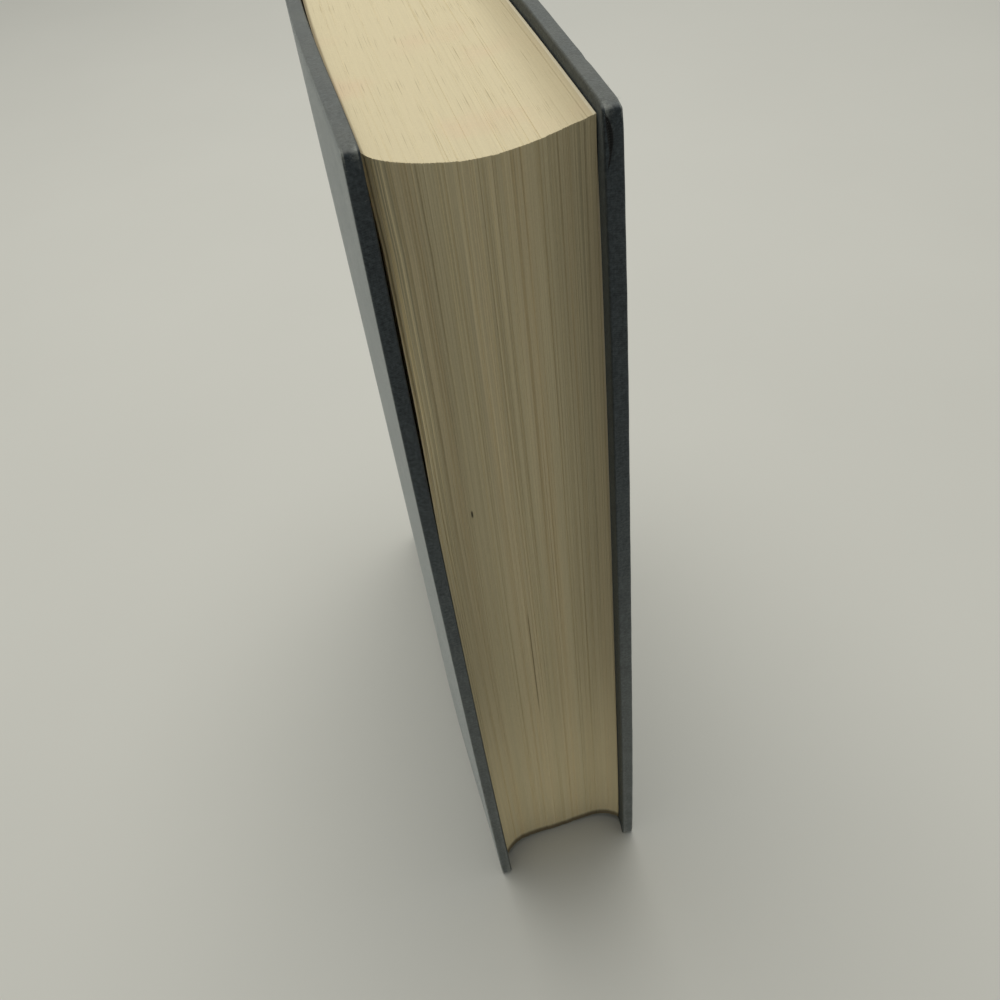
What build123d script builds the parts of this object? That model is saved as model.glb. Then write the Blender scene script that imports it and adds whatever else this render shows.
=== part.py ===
from build123d import *

import math
import os

# A cloth-cased hardback book standing on its tail edges, covers closed.
# +Z runs from the tail to the head, -Y faces the fore edge, +Y the spine, -X the front cover.
# The origin is the middle of the closed book's footprint. All sizes are in millimetres.

# The sewn block of leaves, trimmed
leaf_height = 216.0
leaf_width = 140.0
block_thickness = 33.6

# The rounded and backed spine of the block
spine_round = 5.0  # how far the middle of the back stands behind its two shoulders
shoulder_height = 1.6  # how far each shoulder flares past the side of the block
shoulder_length = 2.6  # the run of the flare, in front of the shoulder's tip

# How the block has sagged: its middle leaves hang lower and have tipped towards the reader
sag = 2.5  # drop of the middle leaf at the fore edge
head_bulge = 2.7  # middle leaf in front of the outer leaves, at the head
tail_hollow = 4.5  # middle leaf behind the outer leaves, at the tail
head_lean = 1.1  # how far the outer leaves lean back from tail to head
tail_flatness = 3.0  # power of the tail's curve: 2 is a parabola, more is flatter in the middle
head_flatness = 2.0

# The case: boards, cloth, and what stands between the case and the block
board_thickness = 2.2
cloth_thickness = 0.3
square = 3.0  # how far the covers pass the block at the head and at the tail
fore_square = 4.2  # the same at the fore edge, for the outer leaves
joint_width = 9.0  # from a cover's back edge to the tip of the block's shoulder
joint_clearance = 0.3  # between a cover's back edge and the joint's cloth
shoulder_gap = 0.6  # between the tip of the block's shoulder and the cloth that rolls over it
shoulder_rise = 1.7  # how far the cloth moves towards the spine as it climbs out of the groove
groove_round = 1.6  # bends of the cloth at the foot and the top of that climb
roll_round = 0.8  # bend of the cloth from the shoulder onto the spine
turn_in = 15.0  # cloth folded over onto the inside of the case
board_bevel = 0.4  # worn edges of the bare board
cloth_round = 0.8  # edges of the cloth that is drawn over them
corner_round = 1.3  # worn fore-edge corners of the bare board
cover_clearance = 0.4  # between a closed cover's lining and the block

# Paper pasted to the inside of the boards
pastedown_thickness = 0.2
pastedown_margin = 4.0  # cloth left bare along the head, tail and fore edge

# What lies round the back of the block, from the inside out
glue_line = 0.1  # the glue between the back of the leaves and their lining
lining_thickness = 0.4
lining_half_angle = 28.5
hollow_gap = 1.0  # the hollow back, between the lining and the spine card
card_thickness = 1.0
card_half_angle = 28.5

# Head and tail bands: a cord bead on a strip of tape
bead_diameter = 2.2
bead_sides = 12
tape_thickness = 0.3
tape_height = 10.0
band_half_angle = 27.0

# The tear in the rear cover's cloth, at the head of its fore edge
tear_length = 10.0
tear_width = 0.6
tear_drop = 3.0  # from the head of the cover to the top of the tear
tear_inset = 0.75  # from the inner face of the cover to the middle of the tear

# Overall sizes and the levels that the pieces share
case_wall = board_thickness + 2 * cloth_thickness
lining_wall = case_wall + pastedown_thickness
block_half = block_thickness / 2
overall_half = block_half + cover_clearance + lining_wall
cover_height = leaf_height + 2 * square
board_height = cover_height - 2 * cloth_thickness
lining_gap = glue_line + lining_thickness
case_gap = lining_gap + hollow_gap
overall_depth = fore_square + leaf_width + case_gap + card_thickness + cloth_thickness
front_y = -overall_depth / 2
crown_y = front_y + fore_square + leaf_width
tip_y = crown_y - spine_round
flare_y = tip_y - shoulder_length
cover_back_y = tip_y - joint_width
board_width = cover_back_y - front_y - 2 * cloth_thickness
board_outer = overall_half - cloth_thickness
board_inner = board_outer - board_thickness
turn_in_level = board_inner - cloth_thickness
block_tail = square
block_head = square + leaf_height

# The back of the block is an arc through both shoulder tips and the crown
tip_half = block_half + shoulder_height
wall_half = tip_half + shoulder_gap
back_radius = (tip_half**2 + spine_round**2) / (2 * spine_round)
back_centre = (0, crown_y - back_radius, 0)
card_radius = back_radius + case_gap
cloth_radius = card_radius + card_thickness


def fore_edge_points(side_y, middle_y, flatness):
    """Points of the fore edge across the block, from the front cover's side to the rear's."""
    shares = (-1, -2 / 3, -1 / 3, 0, 1 / 3, 2 / 3, 1)
    return [(t * block_half, middle_y + (side_y - middle_y) * abs(t) ** flatness) for t in shares]


def block_outline(z, side_y, middle_y, flatness):
    """The plan of the block: fore edge, straight sides, flared shoulders and rounded back."""
    with BuildSketch(Plane.XY.offset(z)) as outline:
        with BuildLine():
            fore_edge = Spline(*fore_edge_points(side_y, middle_y, flatness))
            for side, corner in ((-1, fore_edge @ 0), (1, fore_edge @ 1)):
                flank = Line(corner, (side * block_half, flare_y))
                Spline(flank @ 1, (side * tip_half, tip_y), tangents=((0, 1), (side, 1)))
            ThreePointArc((-tip_half, tip_y), (0, crown_y), (tip_half, tip_y))
        make_face()
    return outline.sketch


def leaf_band(y, drop):
    """The height of the leaves at one depth, where the middle leaf has dropped."""
    reach = tip_half + shoulder_height
    edge_drop = drop * (1 - (reach / block_half) ** 2)
    with BuildSketch(Plane.XZ.offset(-y)) as band:
        with BuildLine():
            corners = []
            for level in (block_head, block_tail):
                left = (-reach, level - edge_drop)
                right = (reach, level - edge_drop)
                if drop:
                    ThreePointArc(left, (0, level - drop), right)
                else:
                    Line(left, right)
                corners.append((left, right))
            Line(corners[0][0], corners[1][0])
            Line(corners[0][1], corners[1][1])
        make_face()
    return band.sketch


def back_strip(z, inner_radius, thickness, half_angle):
    """The plan of a strip that follows the rounded back."""
    with BuildSketch(Plane.XY.offset(z)) as strip:
        with BuildLine():
            start = 90 - half_angle
            outer = CenterArc(back_centre, inner_radius + thickness, start, 2 * half_angle)
            inner = CenterArc(back_centre, inner_radius, start, 2 * half_angle)
            Line(outer @ 0, inner @ 0)
            Line(outer @ 1, inner @ 1)
        make_face()
    return strip.sketch


def cover_slab(side, skin, soften, amount):
    """A cover's board with worn edges and fore-edge corners, grown by a skin on every side."""
    with BuildPart() as slab:
        with BuildSketch(Plane.YZ.offset(side * (board_inner + board_outer) / 2)):
            with Locations(((front_y + cover_back_y) / 2, cover_height / 2)):
                outline = Rectangle(board_width + 2 * skin, board_height + 2 * skin)
            # The sketch's own X runs from the fore edge to the spine
            fillet(outline.vertices().group_by(Axis.X)[0], corner_round + skin)
        extrude(amount=board_thickness / 2 + skin, both=True)
        rims = slab.faces().filter_by(Axis.X).edges()
        worn = rims - rims.group_by(Axis.Y)[-1]
        soften(worn, amount)
    return slab.part


def cover_cloth(side, board):
    """The cloth of one cover: outer face, edges and turn-ins, open where the pastedown lies."""
    envelope = cover_slab(side, cloth_thickness, fillet, cloth_round)
    window_front = front_y + turn_in
    with BuildPart() as cloth:
        add(envelope)
        add(board, mode=Mode.SUBTRACT)
        with BuildSketch(Plane.YZ.offset(side * board_inner)):
            with Locations(((window_front + cover_back_y) / 2, cover_height / 2)):
                Rectangle(cover_back_y - window_front, cover_height - 2 * turn_in)
        extrude(amount=-side * cloth_thickness, mode=Mode.SUBTRACT)
    return cloth.part


def pasted_sheet(side, level, margin):
    """The outline of a sheet inside a cover, a margin in from its head, tail and fore edge."""
    sheet_front = front_y + margin
    sheet_back = cover_back_y - cloth_thickness
    with BuildSketch(Plane.YZ.offset(side * level)) as sheet:
        with Locations(((sheet_front + sheet_back) / 2, cover_height / 2)):
            Rectangle(sheet_back - sheet_front, cover_height - 2 * margin)
    return sheet.sketch


def pastedown(side):
    """The paper lining of a cover, stepping from the board up onto the edges of the turn-ins."""
    with BuildPart() as paper:
        rim = pasted_sheet(side, turn_in_level, pastedown_margin)
        extrude(rim, amount=-side * pastedown_thickness)
        bed = pasted_sheet(side, board_inner, turn_in)
        extrude(bed, amount=-side * cloth_thickness)
        hollow = pasted_sheet(side, board_inner - pastedown_thickness, turn_in + pastedown_thickness)
        extrude(hollow, amount=-side * (cloth_thickness + pastedown_thickness), mode=Mode.SUBTRACT)
    return paper.part


def end_band(level, outward):
    """A head or tail band: its bead lies on the leaves, and its tape goes down the lining."""
    tape_radius = back_radius + lining_gap
    bead_z = level + outward * bead_diameter / 2
    radial = Vector(0, 1, 0).rotate(Axis.Z, -band_half_angle)
    with BuildPart() as band:
        tape = back_strip(bead_z, tape_radius, tape_thickness, band_half_angle)
        extrude(tape, amount=-outward * (tape_height + bead_diameter / 2))
        section = Plane(back_centre, x_dir=radial, z_dir=radial.cross(Vector(0, 0, 1)))
        with BuildSketch(section):
            with Locations((tape_radius + tape_thickness - bead_diameter / 2, bead_z)):
                RegularPolygon(bead_diameter / 2, bead_sides)
        revolve(axis=Axis(back_centre, (0, 0, 1)), revolution_arc=2 * band_half_angle)
    return band.part


# The block of leaves: its plan changes from the tail to the head, and its ends sag at the fore edge
tail_side_y = front_y + fore_square - head_lean / 2
head_side_y = front_y + fore_square + head_lean / 2
with BuildPart() as text_block:
    tail_plan = block_outline(0, tail_side_y, tail_side_y + tail_hollow, tail_flatness)
    head_plan = block_outline(cover_height, head_side_y, head_side_y - head_bulge, head_flatness)
    loft((tail_plan, head_plan), ruled=True)
    leaves = (leaf_band(front_y, sag), leaf_band(flare_y, 0), leaf_band(crown_y + case_gap, 0))
    loft(leaves, ruled=True, mode=Mode.INTERSECT)
text_block.part.label = "text_block"

# The lining glued to the back of the block
with BuildPart() as spine_lining:
    strip = back_strip(block_tail, back_radius + glue_line, lining_thickness, lining_half_angle)
    extrude(strip, amount=leaf_height)
spine_lining.part.label = "spine_lining"

headband = end_band(block_head, 1)
headband.label = "headband"
tailband = end_band(block_tail, -1)
tailband.label = "tailband"

# The card that stiffens the spine of the case
with BuildPart() as spine_card:
    strip = back_strip(cloth_thickness, card_radius, card_thickness, card_half_angle)
    extrude(strip, amount=board_height)
spine_card.part.label = "spine_card"

# The cloth over the spine and both joints, turned in over the ends of the card
with BuildPart() as spine_cloth:
    with BuildSketch():
        with BuildLine():
            start = 90 - card_half_angle
            spine = CenterArc(back_centre, cloth_radius, start, 2 * card_half_angle)
            for side, end in ((1, spine @ 0), (-1, spine @ 1)):
                roll_y = end.Y - (wall_half - abs(end.X)) * math.tan(math.radians(card_half_angle))
                FilletPolyline(
                    (side * block_half, cover_back_y + joint_clearance),
                    (side * block_half, flare_y),
                    (side * wall_half, flare_y + shoulder_rise),
                    (side * wall_half, roll_y),
                    end,
                    radius=(groove_round, groove_round, roll_round),
                )
            offset(amount=cloth_thickness, side=Side.RIGHT)
        make_face()
    extrude(amount=cover_height)
    fold_thickness = card_thickness + 2 * cloth_thickness
    for fold_base in (0, cover_height - turn_in):
        fold = back_strip(fold_base, card_radius - cloth_thickness, fold_thickness, card_half_angle)
        extrude(fold, amount=turn_in)
    add(spine_card.part, mode=Mode.SUBTRACT)
spine_cloth.part.label = "spine_cloth"

# The front cover
front_board = cover_slab(-1, 0, chamfer, board_bevel)
front_board.label = "front_board"
front_cloth = cover_cloth(-1, front_board)
front_cloth.label = "front_cloth"
front_pastedown = pastedown(-1)
front_pastedown.label = "front_pastedown"

# The rear cover, whose cloth has split along the fore edge below its head corner
rear_board = cover_slab(1, 0, chamfer, board_bevel)
rear_board.label = "rear_board"
rear_pastedown = pastedown(1)
rear_pastedown.label = "rear_pastedown"
whole_cloth = cover_cloth(1, rear_board)
tear_x = turn_in_level + tear_inset
tear_top = cover_height - tear_drop
with BuildPart() as rear_cloth:
    add(whole_cloth)
    with BuildSketch(Plane.XZ.offset(-front_y)):
        with BuildLine():
            top = (tear_x, tear_top)
            foot = (tear_x, tear_top - tear_length)
            for lip in (-1, 1):
                ThreePointArc(top, (tear_x + lip * tear_width / 2, tear_top - tear_length / 2), foot)
        make_face()
    extrude(amount=-board_bevel - cloth_thickness, mode=Mode.SUBTRACT)
rear_cloth.part.label = "rear_cloth"

pieces = (
    text_block.part,
    spine_lining.part,
    headband,
    tailband,
    spine_card.part,
    spine_cloth.part,
    front_board,
    front_cloth,
    front_pastedown,
    rear_board,
    rear_cloth.part,
    rear_pastedown,
)
os.makedirs("parts", exist_ok=True)
for piece in pieces:
    export_step(piece, f"parts/{piece.label}.step")
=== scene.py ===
"""Looks of the hardback book: its leaves, cloth case, bands and endpapers, with light and camera."""
import math

import bmesh
import bpy
import numpy as np
from mathutils import Matrix, Vector


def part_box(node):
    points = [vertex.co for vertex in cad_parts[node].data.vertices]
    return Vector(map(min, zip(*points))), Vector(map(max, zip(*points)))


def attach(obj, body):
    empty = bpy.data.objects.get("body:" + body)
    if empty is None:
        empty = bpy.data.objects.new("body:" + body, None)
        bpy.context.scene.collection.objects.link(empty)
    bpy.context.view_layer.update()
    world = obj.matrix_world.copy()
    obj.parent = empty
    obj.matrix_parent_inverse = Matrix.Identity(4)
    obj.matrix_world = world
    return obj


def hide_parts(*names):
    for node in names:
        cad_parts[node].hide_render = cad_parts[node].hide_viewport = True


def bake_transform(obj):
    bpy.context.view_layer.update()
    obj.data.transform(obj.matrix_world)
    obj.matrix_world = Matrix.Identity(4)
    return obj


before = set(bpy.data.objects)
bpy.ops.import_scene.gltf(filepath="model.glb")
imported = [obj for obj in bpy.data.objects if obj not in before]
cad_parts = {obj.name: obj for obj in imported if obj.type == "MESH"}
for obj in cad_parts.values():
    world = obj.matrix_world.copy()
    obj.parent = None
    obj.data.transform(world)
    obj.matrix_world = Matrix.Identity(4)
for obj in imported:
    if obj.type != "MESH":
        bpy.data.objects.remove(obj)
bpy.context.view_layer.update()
random = np.random.default_rng(41)

# One shared frame in metres: +Z to the head, -Y to the fore edge, +Y to the spine, -X to the front cover
MM = 0.001

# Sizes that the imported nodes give
cover_low, cover_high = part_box("front_cloth")
block_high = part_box("text_block")[1]
spine_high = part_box("spine_cloth")[1]
lining_low, lining_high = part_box("spine_lining")
overall_height = cover_high.z
front_y = cover_low.y
cover_back_y = cover_high.y
cover_outer = -cover_low.x
cover_thickness = cover_high.x - cover_low.x
cover_width = cover_back_y - front_y
tip_half = block_high.x
crown_y = block_high.y
block_tail = lining_low.z
block_head = lining_high.z
leaf_height = block_head - block_tail

# Sizes of the block that its box doesn't show
block_half = 16.8 * MM
spine_round = 5.0 * MM
shoulder_length = 2.6 * MM
tip_y = crown_y - spine_round
flare_y = tip_y - shoulder_length
back_radius = (tip_half**2 + spine_round**2) / (2 * spine_round)
back_centre_y = crown_y - back_radius
sag = 2.5 * MM
fore_square = 4.2 * MM
head_lean = 1.1 * MM
head_bulge = 2.7 * MM
tail_hollow = 4.5 * MM
tail_flatness = 5.0
head_lead = 1.4 * MM
tail_lead = 0.5 * MM
tail_twist = 0.8 * MM
corner_flare = 1.5 * MM
corner_lift = 0.6 * MM
fore_swell = 0.35 * MM

# The case cloth and the warp of the covers
cloth_thickness = 0.3 * MM
turn_in = 15.0 * MM
edge_round = 0.45 * MM
corner_round = 0.7 * MM
spine_fold = 1.6 * MM
front_arch = 1.3 * MM
front_bow = 0.6 * MM
rear_bow = 0.42 * MM
edge_swell = 0.35 * MM
# How far the twisted covers stand forwards at the head and at the tail
head_slides = {-1: -1.1 * MM, 1: 1.8 * MM}
tail_slides = {-1: 2.0 * MM, 1: 0.3 * MM}


def linear(red, green, blue):
    """A colour written in 0 to 255 display values, as the shader's linear colour."""
    shares = [value / 255 for value in (red, green, blue)]
    return tuple(c / 12.92 if c <= 0.04045 else ((c + 0.055) / 1.055) ** 2.4 for c in shares) + (1.0,)


def smooth(value, low, high):
    """0 below low, 1 above high, and smooth between them."""
    share = np.clip((value - low) / (high - low), 0, 1)
    return share * share * (3 - 2 * share)


class Value:
    """A socket of a finish, on which arithmetic adds Math nodes."""

    def __init__(self, finish, socket):
        self.finish = finish
        self.socket = socket

    def math(self, operation, first, second=0.0):
        return self.finish.node("ShaderNodeMath", {"operation": operation}, {0: first, 1: second})

    def __add__(self, other):
        return self.math("ADD", self, other)

    def __sub__(self, other):
        return self.math("SUBTRACT", self, other)

    def __mul__(self, other):
        return self.math("MULTIPLY", self, other)

    def __radd__(self, other):
        return self.math("ADD", other, self)

    def __rsub__(self, other):
        return self.math("SUBTRACT", other, self)

    def __abs__(self):
        return self.math("ABSOLUTE", self)

    def sine(self):
        return self.math("SINE", self)

    def rise(self, low, high):
        """0 below low, 1 above high, and smooth between them."""
        sockets = {"Value": self, "From Min": low, "From Max": high}
        return self.finish.node("ShaderNodeMapRange", {"interpolation_type": "SMOOTHSTEP"}, sockets)

    def fall(self, low, high):
        """1 below low, 0 above high, and smooth between them."""
        return 1 - self.rise(low, high)


class Finish:
    """A material whose Principled shader takes constants at once and varying values by expression."""

    def __init__(self, name, **constants):
        self.material = bpy.data.materials.new(name)
        self.material.use_nodes = True
        self.tree = self.material.node_tree
        self.shader = self.tree.nodes["Principled BSDF"]
        for socket, value in constants.items():
            self.shader.inputs[socket.replace("_", " ")].default_value = value

    def node(self, kind, settings, sockets, output=0):
        """Adds a node: its settings first, then the values or links of its sockets."""
        made = self.tree.nodes.new(kind)
        for name, value in settings.items():
            setattr(made, name, value)
        for key, value in sockets.items():
            self.feed(made.inputs[key], value)
        return Value(self, made.outputs[output])

    def feed(self, socket, value):
        if isinstance(value, Value):
            self.tree.links.new(value.socket, socket)
        else:
            socket.default_value = value

    def position(self):
        return self.node("ShaderNodeTexCoord", {}, {}, "Object")

    def axes(self, vector):
        return [self.node("ShaderNodeSeparateXYZ", {}, {0: vector}, axis) for axis in "XYZ"]

    def map(self, name):
        """The two coordinates of a UV map, in millimetres."""
        return self.axes(self.node("ShaderNodeUVMap", {"uv_map": name}, {}))[:2]

    def point(self, x, y, z=0.0):
        return self.node("ShaderNodeCombineXYZ", {}, {"X": x, "Y": y, "Z": z})

    def mark(self, name):
        return self.node("ShaderNodeAttribute", {"attribute_name": name}, {}, "Fac")

    def noise(self, vector, scale=1.0, detail=2.0, roughness=0.5):
        sockets = {"Vector": vector, "Scale": scale, "Detail": detail, "Roughness": roughness}
        return self.node("ShaderNodeTexNoise", {}, sockets)

    def mix(self, share, first, second, blend="MIX"):
        settings = {"data_type": "RGBA", "blend_type": blend}
        return self.node("ShaderNodeMix", settings, {0: share, 6: first, 7: second}, 2)

    def shade(self, color, value):
        """A colour made lighter or darker by a value near 1."""
        grey = self.node("ShaderNodeCombineColor", {}, {0: value, 1: value, 2: value})
        return self.mix(1.0, color, grey, "MULTIPLY")

    def bump(self, height, strength, distance):
        sockets = {"Height": height, "Strength": strength, "Distance": distance}
        return self.node("ShaderNodeBump", {}, sockets)

    def surface(self, color, normal=None):
        self.feed(self.shader.inputs["Base Color"], color)
        if normal is not None:
            self.feed(self.shader.inputs["Normal"], normal)
        return self.material


# Places on the leaf edges, in millimetres: leaves from the middle of the block, heights above the tail
speck_leaf = -9.9
speck_height = 141.4
streak_leaf = -1.8
streak_low = 62.0
streak_high = 109.0
streak_low_fade = 12.0
streak_high_fade = 6.0
first_leaf = -16.6
first_leaf_fade = -16.1
last_leaf = 16.5
last_leaf_fade = 16.35
loose_leaf = -16.0
loose_leaf_fade = -12.5
rear_shade_leaf = 16.0
rear_shade_leaf_fade = 9.0
contact_shadow_height = 1.2
contact_shadow_fade = 3.2
head_arris_fade = 0.5


def leaf_edge_finish():
    """Trimmed paper edges: cream at the head, dusty along the fore edge, streaked along the leaves, with
    painted light and shade.
    """
    paper = Finish("leaf_edges", Roughness=0.9, Specular_IOR_Level=0.2)
    across, along = paper.map("leaf")
    where = paper.position()
    fore_end = leaf_height / MM
    fore = along.fall(fore_end - head_arris_fade, fore_end + head_arris_fade)
    fine = paper.noise(paper.point(across * 5.5, along * 0.02), 1.0, 3.0, 0.7)
    lines = paper.noise(paper.point(across * 2.6, along * 0.009, 6.0), 1.0, 1.0)
    medium = paper.noise(paper.point(across * 1.2, along * 0.007, 4.0))
    broad = paper.noise(paper.point(across * 0.3, along * 0.004, 9.0), 1.0, 1.0)
    fibre = paper.noise(where, 2600.0, 3.0, 0.7)
    cloud = paper.noise(where, 60.0, 3.0)
    cream = paper.mix(cloud.rise(0.5, 0.8), linear(219, 206, 170), linear(221, 201, 167))
    dusty = paper.mix(broad.rise(0.36, 0.64), linear(213, 197, 158), linear(208, 194, 156))
    color = paper.mix(fore, cream, dusty)
    # The leaves have opened more towards the head, and most beside the front cover
    opened = fore * along.rise(0.4 * fore_end, fore_end)
    loose_and_painted_light = across.fall(loose_leaf, loose_leaf_fade) * fore
    loose_and_painted_light = loose_and_painted_light * along.rise(0.3 * fore_end, 0.8 * fore_end)
    streaks = (fine - 0.5) * (0.1 + opened * 0.36 + loose_and_painted_light)
    spread = opened * across.fall(-8.0, 8.0)
    streaks = streaks + (lines - 0.5) * (fore * 0.08 + spread * 0.85 + loose_and_painted_light)
    streaks = streaks + (medium - 0.5) * (0.06 + fore * 0.1 + opened * 0.12)
    # Painted floor light, lighter towards the tail, and painted shade beside the covers higher up
    cover_painted_shade = abs(across).rise(6.0, 15.5) * along.rise(30.0, 120.0)
    wear_and_painted_light = fore * (along.fall(10.0, 90.0) * 0.27 - cover_painted_shade * 0.13)
    # The loose first leaves are lightened too: painted light against the shade of the front cover
    color = paper.shade(color, 0.97 + loose_and_painted_light * 0.35 + wear_and_painted_light + streaks + (fibre - 0.5) * 0.16)
    # At the head: painted shade in the gaps between leaves, painted shade towards the rear cover, a pale
    # last leaf and painted shade along the first one, beside the front cover
    gap_shade_dashes = paper.noise(paper.point(across * 6.0, along * 0.1, 2.0), 1.0, 0.0).rise(0.68, 0.84)
    color = paper.mix(gap_shade_dashes * (1 - fore) * 0.42, color, linear(128, 114, 80))
    # Painted shade towards the rear cover, which stands above the head of the leaves
    rear_cover_painted_shade = across.rise(rear_shade_leaf_fade, rear_shade_leaf)
    color = paper.mix(rear_cover_painted_shade * (1 - fore) * 0.4, color, linear(150, 136, 102))
    is_last = across.rise(last_leaf_fade, last_leaf)
    color = paper.mix(is_last * (1 - fore) * 0.7, color, linear(222, 212, 184))
    # Painted shade along the first leaf, in the gap beside the front cover
    first_leaf_painted_shade = across.fall(first_leaf, first_leaf_fade)
    color = paper.mix(first_leaf_painted_shade * (1 - fore) * 0.7, color, linear(118, 102, 74))
    # Marks along the fore edge, and a painted contact shadow along the tail
    off_streak = abs(across - streak_leaf + (medium - 0.5) * 0.25)
    streak = off_streak.fall(0.05, 0.2) * along.rise(streak_low, streak_low + streak_low_fade)
    streak = streak * along.fall(streak_high - streak_high_fade, streak_high)
    color = paper.mix(streak * fore * 0.5, color, linear(96, 80, 56))
    speck = abs(across - speck_leaf).fall(0.08, 0.28) * abs(along - speck_height).fall(0.4, 1.3)
    color = paper.mix(speck * fore * 0.9, color, linear(38, 34, 30))
    color = paper.mix(along.fall(contact_shadow_height, contact_shadow_fade) * 0.8, color, linear(86, 72, 52))
    height = fine * 0.6 + medium * 0.2 + fibre * 0.35
    return paper.surface(color, normal=paper.bump(height, 0.3, 0.06 * MM))


def plain_paper_finish(name, pale, toned):
    """Smooth uncoated paper with faint fibres and a little foxing."""
    paper = Finish(name, Roughness=0.85, Specular_IOR_Level=0.25)
    where = paper.position()
    cloud = paper.noise(where, 28.0, 4.0)
    fibre = paper.noise(where, 900.0, 4.0, 0.7)
    spots = paper.noise(where, 140.0, 2.0).rise(0.7, 0.78)
    color = paper.mix(cloud.rise(0.3, 0.7), pale, toned)
    color = paper.shade(color, 0.94 + fibre * 0.12)
    color = paper.mix(spots * 0.14, color, linear(168, 132, 88))
    return paper.surface(color, normal=paper.bump(fibre, 0.15, 0.05 * MM))


# One turn of the weave, in millimetres
thread_spacing = 0.42


def case_cloth_finish(name, sheen, deep, pale):
    """Slate book cloth: fine weave, slubby threads, a dusty nap, rubbed pale along worn edges, with
    painted sheen on the outer face, painted light and shade on the fore edges and painted shade in the
    tear.
    """
    cloth = Finish(
        name,
        Roughness=0.66,
        Specular_IOR_Level=0.3,
        Sheen_Weight=sheen,
        Sheen_Roughness=0.4,
        Sheen_Tint=linear(214, 218, 212),
    )
    warp, weft = cloth.map("threads")
    where = cloth.position()
    turn = 2 * math.pi / thread_spacing
    weave = (warp * turn).sine() * (weft * turn).sine()
    slub = cloth.noise(cloth.point(warp * 2.2, weft * 0.16), 1.0, 3.0, 0.65)
    cross = cloth.noise(cloth.point(warp * 0.2, weft * 2.4, 3.0), 1.0, 2.0, 0.6)
    nap = cloth.noise(where, 1700.0, 4.0, 0.75)
    cloud = cloth.noise(where, 120.0, 4.0, 0.6)
    tone = 0.5 + (slub - 0.5) * 0.7 + (cross - 0.5) * 0.7 + (nap - 0.5) * 1.8 + weave * 0.06
    color = cloth.mix(tone.rise(0.0, 1.0), deep, pale)
    # The outer face is paler, with painted sheen, and streaked along the threads
    face_streak_noise = cloth.noise(cloth.point(warp * 0.2, weft * 0.05, 5.0), 1.0, 3.0, 0.6)
    streaked = 0.5 + (tone - 0.5) * 0.8 + (face_streak_noise - 0.5) * 0.6
    face_painted_sheen = cloth.mix(streaked.rise(0.0, 1.0), linear(74, 82, 85), linear(144, 148, 144))
    color = cloth.mix(cloth.mark("face"), color, face_painted_sheen)
    color = cloth.mix(cloud.rise(0.45, 0.75) * 0.35, color, pale)
    # Painted shade on the fore edges towards the head, and warmer painted floor light towards the tail
    height_above = cloth.axes(where)[2]
    painted_shade_upwards = height_above.rise(0.25 * overall_height, 0.85 * overall_height)
    color = cloth.mix(cloth.mark("fore") * (1 - painted_shade_upwards) * 0.45, color, linear(92, 91, 82))
    color = cloth.shade(color, 1 + cloth.mark("fore") * (0.3 - painted_shade_upwards * 0.7))
    # Dust lies along the head
    dust = height_above.rise(overall_height - 0.7 * MM, overall_height - 0.1 * MM) * (0.35 + cloud * 0.5)
    color = cloth.mix(dust, color, linear(102, 102, 93))
    color = cloth.shade(color, 0.6 + nap * 0.8)
    wear_and_painted_light = (cloth.mark("rub") * (0.3 + nap * 1.4)).rise(0.4, 1.1)
    color = cloth.mix(wear_and_painted_light * 0.8, color, linear(150, 152, 143))
    # Painted shade inside the tear, near black
    color = cloth.mix(cloth.mark("torn").rise(0.15, 0.35), color, linear(3, 3, 3))
    height = weave * 0.25 + slub * 0.6 + nap
    return cloth.surface(color, normal=cloth.bump(height, 0.55, 0.12 * MM))


def fray_finish():
    """Loose pale fibres of the worn cloth."""
    fibre = Finish("frayed_fibre", Roughness=0.9, Specular_IOR_Level=0.1, Sheen_Weight=0.3)
    tone = fibre.noise(fibre.position(), 700.0)
    return fibre.surface(fibre.mix(tone.rise(0.3, 0.7), linear(104, 108, 104), linear(170, 171, 160)))


def pulp_board_finish():
    """Grey pulp board with darker flecks."""
    board = Finish("pulp_board", Roughness=0.95, Specular_IOR_Level=0.1)
    where = board.position()
    flecks = board.noise(where, 1500.0, 3.0, 0.8)
    cloud = board.noise(where, 70.0, 3.0)
    color = board.mix(flecks.rise(0.35, 0.7), linear(108, 98, 82), linear(142, 132, 112))
    color = board.mix(cloud.rise(0.4, 0.7) * 0.4, color, linear(120, 106, 84))
    return board.surface(color, normal=board.bump(flecks, 0.4, 0.1 * MM))


def kraft_lining_finish():
    """Brown paper glued over the back of the sections."""
    kraft = Finish("kraft_lining", Roughness=0.8, Specular_IOR_Level=0.3)
    where = kraft.position()
    across, _, height = kraft.axes(where)
    ribs = kraft.noise(kraft.point(across * 900.0, height * 30.0))
    fibre = kraft.noise(where, 1200.0, 4.0, 0.7)
    color = kraft.mix(fibre.rise(0.3, 0.7), linear(150, 112, 70), linear(178, 140, 94))
    color = kraft.mix(ribs.rise(0.5, 0.7) * 0.35, color, linear(118, 86, 52))
    return kraft.surface(color, normal=kraft.bump(ribs + fibre * 0.4, 0.4, 0.1 * MM))


def band_thread_finish():
    """Buff cotton thread with a soft gloss."""
    thread = Finish("band_thread", Roughness=0.7, Specular_IOR_Level=0.3, Sheen_Weight=0.2)
    where = thread.position()
    twist = thread.noise(where, 3200.0, 3.0, 0.7)
    soil = thread.noise(where, 220.0, 3.0)
    color = thread.mix(twist.rise(0.3, 0.7), linear(176, 158, 122), linear(216, 203, 170))
    color = thread.mix(soil.rise(0.5, 0.8) * 0.5, color, linear(140, 122, 92))
    return thread.surface(color, normal=thread.bump(twist, 0.4, 0.06 * MM))


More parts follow.
